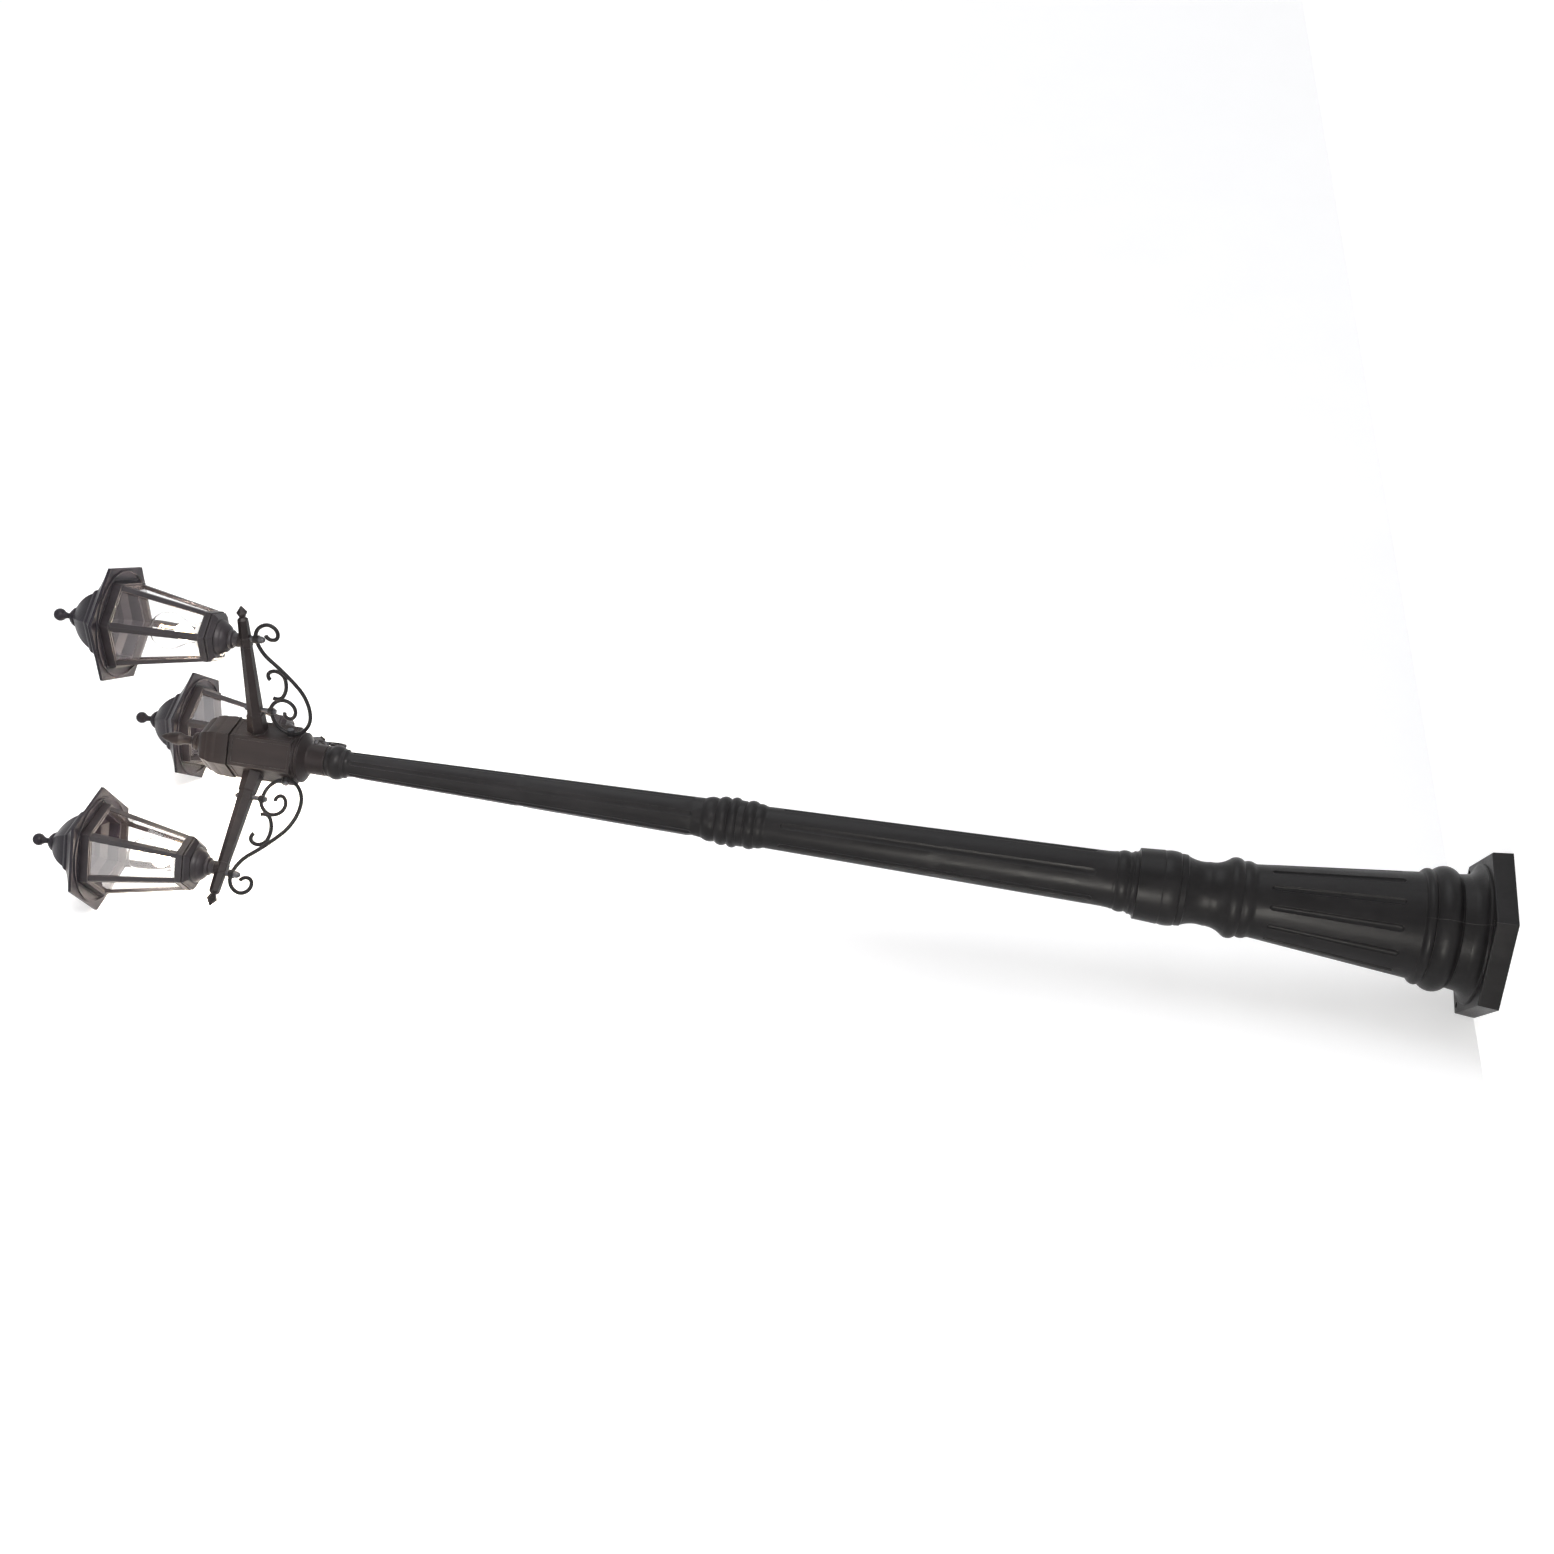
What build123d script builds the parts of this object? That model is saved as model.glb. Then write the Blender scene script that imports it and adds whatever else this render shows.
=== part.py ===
from build123d import *
from math import cos, pi, radians, sin
import os

# A three-armed garden lamp post of cast aluminium, standing upright. Millimetres, +Z up, and the
# origin is the centre of the foot's underside. The hub's front face looks along -Y. Three arms
# leave the hub 120 degrees apart, and a six-sided lantern stands on each.

# ---------------------------------------------------------------- driving dimensions
SIDES = 6
APOTHEM = cos(pi / SIDES)  # of a hexagon with corners at radius 1

# heights above the ground
PLATE_TOP = 28.5
FOOT_TOP = 60.0
COLUMN_TOP = 446.0
LOWER_POLE_TOP = 1094.5
UPPER_POLE_TOP = 1737.5
SPIGOT_TOP = 1770.0
SPIGOT_ROOM = 0.5
HUB_BASE = 1784.0
HUB_TOP = 1882.0
CAP_TOP = 1948.0
ARM_HEIGHT = 1847.0
SEAT_HEIGHT = 1857.0

# foot
PLATE_BASE_R = 128.0
PLATE_TOP_R = 125.0
PLATE_TURN = -13.2
PLATE_WALL = 6.0
PLATE_DECK = 6.5
PLATE_EDGE = 1.5
SKIRT_R = 81.5
HOLE_CIRCLE_R = 112.0
HOLE_R = 4.5
HOLE_BOSS_R = 10.0
HOLE_COUNT = 3
SKIRT_WALL = 4.5

# post
COLUMN_WALL = 5.5
POLE_WALL = 4.5
COLUMN_FLUTES = 12
COLUMN_FLUTE = (138.0, 320.0, 10.5, 8.0, 3.0)  # low end, high end, widths there, depth
POLE_FLUTES = 6
LOWER_FLUTE = (566.0, 1030.0, 12.0, 9.5, 2.2)
UPPER_FLUTE = (1162.0, 1698.0, 9.5, 7.0, 1.8)
LOWER_FLUTE_TURN = -73.0
UPPER_FLUTE_TURN = -77.0
NIPPLE_R = 10.0
NIPPLE_BORE_R = 7.0
NIPPLE_HALF = 22.0
WEB = 9.0
BOSS_R = 16.0

# hub
HUB_R = 45.7
HUB_CAVITY_R = 40.0
HUB_FLOOR = 1788.0
NECK_R = 23.6
NECK_BORE_R = 19.1
POLE_SPIGOT_R = 19.0
ROD_R = 3.0
PANEL_DEPTH = 0.8
PANEL_MARGIN = 4.5
CABLE_HOLE_R = 3.2
CABLE_HOLE_CIRCLE_R = 9.6
ARM_POCKET_R = 16.4
EYE_POCKET_R = 7.0
HUB_WALL_CUT = 15.0

# arms
ARM_HEADINGS = {"right": -30.0, "left": -150.0, "back": 90.0}
LANTERN_TURNS = {"right": -2.8, "left": 25.2, "back": 9.5}
LANTERN_REACH = 198.0
ARM_ROOT = HUB_R * APOTHEM
ARM_TIP = 258.0
ARM_WALL = 2.7
COLLAR_R = 10.2
COLLAR_HALF = 8.0
SEAT_R = 9.6
BOLT_PAD_R = 5.0
BOLT_PAD = 2.5
ARM_BORE_START = 58.0
STUD_REACH = 204.0
STUD_R = 3.0
SCREW_R = 2.5
BOLT_REACH = 78.0
BOLT_R = 2.0
LEAD_R = 1.8
STEM_INSIDE = 6.0
STEM_WALL = 1.6
STEM_REACH = 56.0
STEM_NUT_R = 8.5
STEM_NUT = 4.0

# scroll bracket under each arm
ROD_BAR_R = 3.0
EYE_SCREW_HEIGHT = 1793.3
EYE_SCREW_REACH = 46.0
EYE_LOW = 1825.8
EYE_HIGH = 1833.6
BOLT_EYE_LOW = 1817.0
BOLT_EYE_HIGH = 1825.0
PAD = 11.0
STUD_EYE_R = 6.4
BOLT_EYE_R = 5.6
SCREW_EYE_R = 6.2
EYE_CUT = 16.0

# fasteners of the brackets
SPACER_R = 4.6
STUD_BELOW = 7.0
ACORN_NUT = 5.5
ACORN_NUT_R = 5.4
ACORN_DOME_R = 4.4
BOLT_ABOVE = 5.5
BOLT_HEAD = 3.4
BOLT_HEAD_R = 3.9
BOLT_SPACER_R = 3.6
BOLT_NUT_R = 4.2
EYE_SCREW_LENGTH = 15.0
EYE_SCREW_HEAD = 3.2
EYE_SCREW_HEAD_R = 4.9

# lantern, heights above its seat on the arm
BOWL_TOP = 29.0
TRAY_BASE = 28.0
TRAY_FLOOR = 32.5
CUP_BAND = 33.5
CUP_GROOVE = 36.2
CUP_RIM = 37.0
CAGE_LOW_RING = 46.0
CAGE_HIGH_RING = 171.0
CAGE_TOP = 184.0
CUP_RIM_R = 40.5
CUP_GROOVE_R = 38.8
SPIGOT = 4.0
SPIGOT_R = 36.2
SPIGOT_BORE_R = 33.4
CAGE_FOOT_R = 42.4
CAGE_LOW_R = 43.0
CAGE_HIGH_R = 68.2
CAGE_TOP_R = 71.5
CAGE_MOUTH_R = 62.8
CAGE_REACH = 90.0
CAGE_SHELL = 3.2
PANE = 2.0
PANE_GAP = 1.4
BRIM_R = 95.9
BRIM_EDGE = 4.5
DOME_TOP = 254.0
LANTERN_TOP = 293.0
BALL_R = 9.4
CAP_BOSS = 238.0
CAP_BOSS_R = 7.5
FINIAL_SCREW_R = 3.0
FINIAL_SCREW = 11.0
ROOF_SPIGOT = 4.0
ROOF_SPIGOT_R = 62.2
ROOF_REACH = 100.0
ROUND_RIB = 2.4
ROUND_RIB_R = 79.8
ROUND_RIB_WIDTH = 2.2
STRAIGHT_RIB = 1.2
STRAIGHT_RIB_R = 76.4
STRAIGHT_RIB_WIDTH = 1.6
RIB_ROOT = 0.4
HOLDER_BASE = 22.0
HOLDER_TOP = 62.0
BULB_R = 28.0
BULB_TOP = 138.0
BULB_WALL = 1.0
CONTACT = 36.0
LAMP_CAP_R = 13.0
LAMP_CAP_TOP = 63.0
THREADS = 5
THREAD_PITCH = 3.4
FILAMENTS = 4
FILAMENT_R = 1.1
FILAMENT_CIRCLE_R = 6.0
FILAMENT_LOW = 82.0
FILAMENT_HIGH = 122.0
STEM_R = 5.0
STEM_TOP = 30.0
STEM_BELOW = 5.5
CUP_FLOOR = 16.0
CUP_NUT_R = 8.2
CUP_NUT = 4.5
RUN_GAP = 0.06
THREAD_GAP = 0.02

UP = (0, 0, 1)
GROUND_AXIS = Plane(origin=(0, 0, 0), x_dir=(1, 0, 0), z_dir=(0, -1, 0))


# ---------------------------------------------------------------- shared outlines
def turned(upright, outline):
    """Half section for turning. Corners are (radius, height). A third value makes the run that
    ends there an arc, which stands that far proud of its chord, or hollow if negative."""
    with BuildSketch(upright) as section:
        with BuildLine():
            here = outline[-1][:2]
            for radius, height, *swell in outline:
                there = (radius, height)
                if swell:
                    SagittaArc(here, there, -swell[0])
                else:
                    Line(here, there)
                here = there
        make_face()
    return section.sketch


def hexagonal(upright, outline, reach):
    """Six-sided dome. The mirrored half outline (apothem, height, swell) makes three long
    prisms, 60 degrees apart, and the dome is what all three have in common."""
    with BuildPart() as dome:
        for turn in range(SIDES // 2):
            swing = radians(60 * turn + 30)
            across = upright.x_dir * cos(swing) - upright.z_dir * sin(swing)
            facing = upright.x_dir * sin(swing) + upright.z_dir * cos(swing)
            face = Plane(origin=upright.origin, x_dir=across, z_dir=facing).offset(-reach)
            with BuildSketch(face) as section:
                with BuildLine():
                    here = (0, outline[0][1])
                    for apothem, height, *swell in outline:
                        there = (apothem, height)
                        if swell:
                            SagittaArc(here, there, -swell[0])
                        else:
                            Line(here, there)
                        here = there
                    Line(here, (0, here[1]))
                    Line((0, here[1]), (0, outline[0][1]))
                make_face()
                mirror(about=Plane.YZ)
            extrude(amount=2 * reach, mode=Mode.ADD if turn == 0 else Mode.INTERSECT)
    return dome.part


def arc_chain(plane, start, heading, arcs):
    """Smooth bar line of tangent arcs (radius, signed turn in degrees) on a plane."""
    with BuildLine(plane) as bar:
        tangent = (cos(radians(heading)), sin(radians(heading)))
        for radius, turn in arcs:
            arc = JernArc(start, tangent, radius, turn)
            start = arc @ 1
            tangent = arc % 1
    return bar.line


POST_AXIS = Axis((0, 0, 0), UP)


# ---------------------------------------------------------------- foot
HOLE_PLACES = [PLATE_TURN - 60 + 120 * k for k in range(HOLE_COUNT)]

with BuildPart() as base_foot:
    with BuildSketch():
        RegularPolygon(PLATE_BASE_R, SIDES, rotation=PLATE_TURN)
    with BuildSketch(Plane.XY.offset(PLATE_TOP)):
        RegularPolygon(PLATE_TOP_R, SIDES, rotation=PLATE_TURN)
    loft()
    fillet(base_foot.faces().sort_by(Axis.Z)[-1].edges(), PLATE_EDGE)
    revolve(
        turned(
            GROUND_AXIS,
            [
                (0, PLATE_TOP - 1),
                (101, PLATE_TOP - 1),
                (101, PLATE_TOP + 1.5),
                (98.5, PLATE_TOP + 3.5, 0.6),
                (83.5, 46, -3.2),
                (SKIRT_R, FOOT_TOP),
                (0, FOOT_TOP),
            ],
        ),
        axis=POST_AXIS,
    )
    with BuildSketch():
        RegularPolygon(PLATE_BASE_R - PLATE_WALL, SIDES, rotation=PLATE_TURN)
    extrude(amount=PLATE_TOP - PLATE_DECK, mode=Mode.SUBTRACT)
    revolve(
        turned(
            GROUND_AXIS,
            [
                (0, 0),
                (93, 0),
                (93, PLATE_TOP - PLATE_DECK),
                (78.5, 44, -3),
                (SKIRT_R - SKIRT_WALL, FOOT_TOP - WEB),
                (0, FOOT_TOP - WEB),
            ],
        ),
        axis=POST_AXIS,
        mode=Mode.SUBTRACT,
    )
    with BuildSketch(Plane.XY.offset(FOOT_TOP - NIPPLE_HALF)):
        Circle(BOSS_R)
    extrude(amount=NIPPLE_HALF)
    with BuildSketch():
        with PolarLocations(HOLE_CIRCLE_R, HOLE_COUNT, start_angle=HOLE_PLACES[0]):
            Circle(HOLE_BOSS_R)
    extrude(amount=PLATE_TOP - PLATE_DECK / 2)
    with BuildSketch():
        with PolarLocations(HOLE_CIRCLE_R, HOLE_COUNT, start_angle=HOLE_PLACES[0]):
            Circle(HOLE_R)
        Circle(NIPPLE_R)
    extrude(amount=FOOT_TOP, mode=Mode.SUBTRACT)
base_foot.part.label = "base_foot"


# ---------------------------------------------------------------- fluted column and poles
def column_radius(height):
    """Plain taper of the fluted column."""
    return 75.0 - 0.1045 * (height - 130.0)


def pole_radius(height):
    """Plain taper of the two poles, read at the lower pole's foot and the upper pole's neck."""
    if height < LOWER_POLE_TOP:
        return 40.9 - 0.0193 * (height - 550.0)
    return 30.0 - 0.0192 * (height - 1148.0)


def flute_cutter(turn, radius_at, low, high, width_low, width_high, depth):
    """Round-ended groove tool: a slim tapered bar that leans with the wall and bites into it."""
    bite_low = (width_low**2 / 4 + depth**2) / (2 * depth)
    bite_high = (width_high**2 / 4 + depth**2) / (2 * depth)
    low += width_low / 2
    high -= width_high / 2
    start = Vector(radius_at(low) + bite_low - depth, 0, low)
    end = Vector(radius_at(high) + bite_high - depth, 0, high)
    with BuildPart() as cutter:
        lean = Plane(origin=start, z_dir=end - start)
        with BuildSketch(lean):
            Circle(bite_low)
        with BuildSketch(lean.offset((end - start).length)):
            Circle(bite_high)
        loft()
        with Locations(start):
            Sphere(bite_low)
        with Locations(end):
            Sphere(bite_high)
    return cutter.part.rotate(Axis.Z, turn)


with BuildPart() as base_column:
    revolve(
        turned(
            GROUND_AXIS,
            [
                (0, FOOT_TOP),
                (81, FOOT_TOP),
                (83, 62.5, 0.6),
                (82.5, 95, 7.4),
                (81.3, 96.5),
                (78.6, 110, 3.8),
                (column_radius(112), 112),
                (column_radius(336), 336),
                (54.3, 343, -0.6),
                (54.8, 356, 1.6),
                (54.8, 357.5),
                (54.6, 378, 4.3),
                (53.6, 379.5),
                (46.6, 404, -2.2),
                (50.6, 436, -2.6),
                (52.2, 438.5, 0.6),
                (52.6, 444),
                (51.6, COLUMN_TOP),
                (0, COLUMN_TOP),
            ],
        ),
        axis=POST_AXIS,
    )
    revolve(
        turned(
            GROUND_AXIS,
            [
                (0, FOOT_TOP + WEB),
                (82.5 - COLUMN_WALL, FOOT_TOP + WEB),
                (77.5 - COLUMN_WALL, 108),
                (53.4 - COLUMN_WALL - 0.5, 337),
                (50.0 - COLUMN_WALL, 384),
                (46.6 - COLUMN_WALL, 404, -0.5),
                (48.5 - COLUMN_WALL, COLUMN_TOP - WEB),
                (0, COLUMN_TOP - WEB),
            ],
        ),
        axis=POST_AXIS,
        mode=Mode.SUBTRACT,
    )
    with BuildSketch(Plane.XY.offset(FOOT_TOP), Plane.XY.offset(COLUMN_TOP - NIPPLE_HALF)):
        Circle(BOSS_R)
    extrude(amount=NIPPLE_HALF)
    with BuildSketch(Plane.XY.offset(FOOT_TOP)):
        Circle(NIPPLE_R)
    extrude(amount=COLUMN_TOP - FOOT_TOP, mode=Mode.SUBTRACT)
    for flute in range(COLUMN_FLUTES):
        place = PLATE_TURN + 360 / COLUMN_FLUTES * (flute + 0.5)
        add(flute_cutter(place, column_radius, *COLUMN_FLUTE), mode=Mode.SUBTRACT)
base_column.part.label = "base_column"

with BuildPart() as lower_pole:
    revolve(
        turned(
            GROUND_AXIS,
            [
                (0, COLUMN_TOP),
                (52.4, COLUMN_TOP),
                (53.6, 448),
                (53.6, 469, 1.3),
                (54.3, 470.5),
                (52.0, 505),
                (48.8, 505.5),
                (46.2, 513, -1.2),
                (43.2, 518, -0.6),
                (43.0, 534, 2.0),
                (42.0, 535),
                (41.6, 541, 0.5),
                (pole_radius(550), 550),
                (pole_radius(1050), 1050),
                (31.6, 1055, -0.4),
                (33.2, 1067, 1.0),
                (33.4, 1084, 3.3),
                (34.4, 1086),
                (34.6, LOWER_POLE_TOP),
                (0, LOWER_POLE_TOP),
            ],
        ),
        axis=POST_AXIS,
    )
    revolve(
        turned(
            GROUND_AXIS,
            [
                (0, COLUMN_TOP + WEB),
                (44, COLUMN_TOP + WEB),
                (42.5, 505),
                (pole_radius(540) - POLE_WALL, 540),
                (pole_radius(1070) - POLE_WALL, LOWER_POLE_TOP - WEB),
                (0, LOWER_POLE_TOP - WEB),
            ],
        ),
        axis=POST_AXIS,
        mode=Mode.SUBTRACT,
    )
    with BuildSketch(Plane.XY.offset(COLUMN_TOP), Plane.XY.offset(LOWER_POLE_TOP - NIPPLE_HALF)):
        Circle(BOSS_R)
    extrude(amount=NIPPLE_HALF)
    with BuildSketch(Plane.XY.offset(COLUMN_TOP)):
        Circle(NIPPLE_R)
    extrude(amount=LOWER_POLE_TOP - COLUMN_TOP, mode=Mode.SUBTRACT)
    for flute in range(POLE_FLUTES):
        place = LOWER_FLUTE_TURN + 360 / POLE_FLUTES * flute
        add(flute_cutter(place, pole_radius, *LOWER_FLUTE), mode=Mode.SUBTRACT)
lower_pole.part.label = "lower_pole"

with BuildPart() as upper_pole:
    revolve(
        turned(
            GROUND_AXIS,
            [
                (0, LOWER_POLE_TOP),
                (34.6, LOWER_POLE_TOP),
                (34.8, 1108, 3.1),
                (33.6, 1109.5),
                (33.4, 1126, 3.2),
                (32.0, 1127.5),
                (31.6, 1145, 2.0),
                (pole_radius(1148), 1148),
                (pole_radius(1702), 1702),
                (22.4, 1707, -0.6),
                (22.6, 1712),
                (23.8, 1731, 3.4),
                (23.8, 1735),
                (22.4, UPPER_POLE_TOP),
                (POLE_SPIGOT_R, UPPER_POLE_TOP),
                (POLE_SPIGOT_R, SPIGOT_TOP),
                (0, SPIGOT_TOP),
            ],
        ),
        axis=POST_AXIS,
    )
    revolve(
        turned(
            GROUND_AXIS,
            [
                (0, LOWER_POLE_TOP + WEB),
                (pole_radius(1148) - POLE_WALL, LOWER_POLE_TOP + WEB),
                (pole_radius(1148) - POLE_WALL, 1148),
                (pole_radius(1702) - POLE_WALL, 1702),
                (pole_radius(1702) - POLE_WALL, SPIGOT_TOP),
                (0, SPIGOT_TOP),
            ],
        ),
        axis=POST_AXIS,
        mode=Mode.SUBTRACT,
    )
    with BuildSketch(Plane.XY.offset(LOWER_POLE_TOP)):
        Circle(BOSS_R)
    extrude(amount=NIPPLE_HALF)
    with BuildSketch(Plane.XY.offset(LOWER_POLE_TOP)):
        Circle(NIPPLE_R)
    extrude(amount=SPIGOT_TOP - LOWER_POLE_TOP, mode=Mode.SUBTRACT)
    for flute in range(POLE_FLUTES):
        place = UPPER_FLUTE_TURN + 360 / POLE_FLUTES * flute
        add(flute_cutter(place, pole_radius, *UPPER_FLUTE), mode=Mode.SUBTRACT)
upper_pole.part.label = "upper_pole"

NIPPLES = {"foot_nipple": FOOT_TOP, "column_nipple": COLUMN_TOP, "pole_nipple": LOWER_POLE_TOP}
nipples = {}
for name, joint_height in NIPPLES.items():
    with BuildPart() as nipple:
        with BuildSketch(Plane.XY.offset(joint_height - NIPPLE_HALF)):
            Circle(NIPPLE_R)
            Circle(NIPPLE_BORE_R, mode=Mode.SUBTRACT)
        extrude(amount=2 * NIPPLE_HALF)
    nipple.part.label = name
    nipples[name] = nipple.part


# ---------------------------------------------------------------- hub
HUB_FACES = [-90 + 60 * k for k in range(SIDES)]
NECK_SCREW_TURN = 7.4
NECK_SCREW_HEIGHT = 1761.6
NECK_SCREW_SHOWS = 1.6
NECK_SCREW_HEAD = 2.6
NECK_SCREW_HEAD_R = 3.0

with BuildPart() as hub:
    revolve(
        turned(
            GROUND_AXIS,
            [
                (0, UPPER_POLE_TOP),
                (22.6, UPPER_POLE_TOP),
                (NECK_R, UPPER_POLE_TOP + 1.5),
                (NECK_R, 1764),
                (26.5, 1767.5, -0.8),
                (38.2, 1774.5),
                (38.6, 1777, 0.4),
                (36.8, 1778.5),
                (37.2, 1780),
                (39.2, 1781),
                (39.4, HUB_BASE),
                (0, HUB_BASE),
            ],
        ),
        axis=POST_AXIS,
    )
    with BuildSketch(Plane.XY.offset(HUB_BASE)):
        RegularPolygon(HUB_R, SIDES)
    extrude(amount=HUB_TOP - HUB_BASE)
    with BuildSketch(Plane.XY.offset(HUB_FLOOR)):
        RegularPolygon(HUB_CAVITY_R, SIDES)
    extrude(amount=HUB_TOP - HUB_FLOOR, mode=Mode.SUBTRACT)
    with BuildSketch(Plane.XY.offset(UPPER_POLE_TOP)):
        Circle(NECK_BORE_R)
    extrude(amount=SPIGOT_TOP + SPIGOT_ROOM - UPPER_POLE_TOP, mode=Mode.SUBTRACT)
    with BuildSketch(Plane.XY.offset(SPIGOT_TOP)):
        Circle(ROD_R)
        with PolarLocations(CABLE_HOLE_CIRCLE_R, 3):
            Circle(CABLE_HOLE_R)
    extrude(amount=HUB_FLOOR - SPIGOT_TOP, mode=Mode.SUBTRACT)
    for facing in HUB_FACES:
        outward = (cos(radians(facing)), sin(radians(facing)), 0)
        middle = Vector(*outward) * ARM_ROOT + Vector(0, 0, (HUB_BASE + HUB_TOP) / 2)
        panel = Plane(origin=middle, x_dir=Vector(0, 0, 1).cross(Vector(*outward)), z_dir=outward)
        with BuildSketch(panel):
            Rectangle(HUB_R - 2 * PANEL_MARGIN, HUB_TOP - HUB_BASE - 2 * PANEL_MARGIN)
        extrude(amount=-PANEL_DEPTH, mode=Mode.SUBTRACT)
    for heading in ARM_HEADINGS.values():
        outward = Vector(cos(radians(heading)), sin(radians(heading)), 0)
        face = Plane(
            origin=outward * (HUB_CAVITY_R * APOTHEM) + Vector(0, 0, ARM_HEIGHT),
            x_dir=Vector(0, 0, 1).cross(outward),
            z_dir=outward,
        )
        with BuildSketch(face):
            Circle(STEM_R)
            with Locations((0, EYE_SCREW_HEIGHT - ARM_HEIGHT)):
                Circle(SCREW_R)
        extrude(amount=HUB_WALL_CUT, mode=Mode.SUBTRACT)
        with BuildSketch(face.offset(ARM_ROOT - PANEL_DEPTH - HUB_CAVITY_R * APOTHEM)):
            RegularPolygon(ARM_POCKET_R, SIDES)
            with Locations((0, EYE_SCREW_HEIGHT - ARM_HEIGHT)):
                Circle(EYE_POCKET_R)
        extrude(amount=PANEL_DEPTH)
        with BuildSketch(face):
            Circle(STEM_R)
            with Locations((0, EYE_SCREW_HEIGHT - ARM_HEIGHT)):
                Circle(SCREW_R)
        extrude(amount=HUB_WALL_CUT, mode=Mode.SUBTRACT)
    neck_side = Plane(
        origin=(0, 0, NECK_SCREW_HEIGHT),
        z_dir=(cos(radians(NECK_SCREW_TURN)), sin(radians(NECK_SCREW_TURN)), 0),
    )
    with BuildSketch(neck_side):
        Circle(SCREW_R)
    extrude(amount=NECK_R + 2, mode=Mode.SUBTRACT)
hub.part.label = "hub"

with BuildPart() as neck_screw:
    with BuildSketch(neck_side.offset(NECK_BORE_R)):
        Circle(SCREW_R)
    extrude(amount=NECK_R + NECK_SCREW_SHOWS - NECK_BORE_R)
    with BuildSketch(neck_side.offset(NECK_R + NECK_SCREW_SHOWS)):
        RegularPolygon(NECK_SCREW_HEAD_R, SIDES)
    extrude(amount=NECK_SCREW_HEAD)
neck_screw.part.label = "neck_screw"

CAP_FLANGE_R = 43.1
CAP_FLANGE = 2.5
CAP_REACH = 60.0
CAP_OUTLINE = [
    (42.0, HUB_TOP + 1.8),
    (40.8, HUB_TOP + 3.4),
    (40.2, HUB_TOP + 22, 0.5),
    (36.4, HUB_TOP + 39, 1.6),
    (24.0, HUB_TOP + 55, 3.2),
    (15.5, HUB_TOP + 60, -0.4),
]
cap_shell = hexagonal(GROUND_AXIS, CAP_OUTLINE, CAP_REACH)
cap_cavity = hexagonal(
    GROUND_AXIS,
    [(36.6, HUB_TOP), (36.6, HUB_TOP + 22), (32.6, HUB_TOP + 37, 1.5), (20, HUB_TOP + 51, 3)],
    CAP_REACH,
)
with BuildPart() as hub_cap:
    add(cap_shell)
    with BuildSketch(Plane.XY.offset(HUB_TOP)):
        RegularPolygon(CAP_FLANGE_R, SIDES)
    extrude(amount=CAP_FLANGE)
    revolve(
        turned(
            GROUND_AXIS,
            [
                (0, HUB_TOP + 55),
                (15.4, HUB_TOP + 55),
                (15.4, HUB_TOP + 61.5),
                (12.4, HUB_TOP + 63.5, -0.4),
                (12.4, CAP_TOP),
                (0, CAP_TOP),
            ],
        ),
        axis=POST_AXIS,
    )
    add(cap_cavity, mode=Mode.SUBTRACT)
    with BuildSketch(Plane.XY.offset(HUB_TOP)):
        Circle(ROD_R)
    extrude(amount=CAP_TOP - HUB_TOP, mode=Mode.SUBTRACT)
hub_cap.part.label = "hub_cap"

with BuildPart() as hub_finial:
    revolve(
        turned(
            GROUND_AXIS,
            [
                (ROD_R, CAP_TOP),
                (13.2, CAP_TOP),
                (13.4, CAP_TOP + 5, 0.8),
                (7.4, CAP_TOP + 10, -0.8),
                (6.6, CAP_TOP + 15, -0.3),
                (9.9, CAP_TOP + 30, -0.9),
                (6.6, CAP_TOP + 50, 1.3),
                (1.2, CAP_TOP + 61, 0.6),
                (0, CAP_TOP + 61.5),
                (0, CAP_TOP + 14),
                (ROD_R, CAP_TOP + 14),
            ],
        ),
        axis=POST_AXIS,
    )
hub_finial.part.label = "hub_finial"

ROD_FOOT = SPIGOT_TOP + 2
ROD_HEAD = CAP_TOP + 12
with BuildPart() as hub_tie_rod:
    with BuildSketch(Plane.XY.offset(ROD_FOOT)):
        Circle(ROD_R)
    extrude(amount=ROD_HEAD - ROD_FOOT)
hub_tie_rod.part.label = "hub_tie_rod"

BLOCK_TOP = HUB_FLOOR + 14
BLOCK_R = 21.0
BLOCK_SCREW_R = 2.2
BLOCK_SCREW_CIRCLE_R = 17.5
BLOCK_SCREW_DEPTH = 5.0
with BuildPart() as terminal_block:
    with BuildSketch(Plane.XY.offset(HUB_FLOOR)):
        Circle(BLOCK_R)
        Circle(ROD_R + 0.5, mode=Mode.SUBTRACT)
        with PolarLocations(CABLE_HOLE_CIRCLE_R, 3):
            Circle(CABLE_HOLE_R, mode=Mode.SUBTRACT)
    extrude(amount=BLOCK_TOP - HUB_FLOOR)
    with BuildSketch(Plane.XY.offset(BLOCK_TOP)):
        with PolarLocations(BLOCK_SCREW_CIRCLE_R, 3, start_angle=30):
            Circle(BLOCK_SCREW_R)
    extrude(amount=-BLOCK_SCREW_DEPTH, mode=Mode.SUBTRACT)
terminal_block.part.label = "terminal_block"


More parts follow.
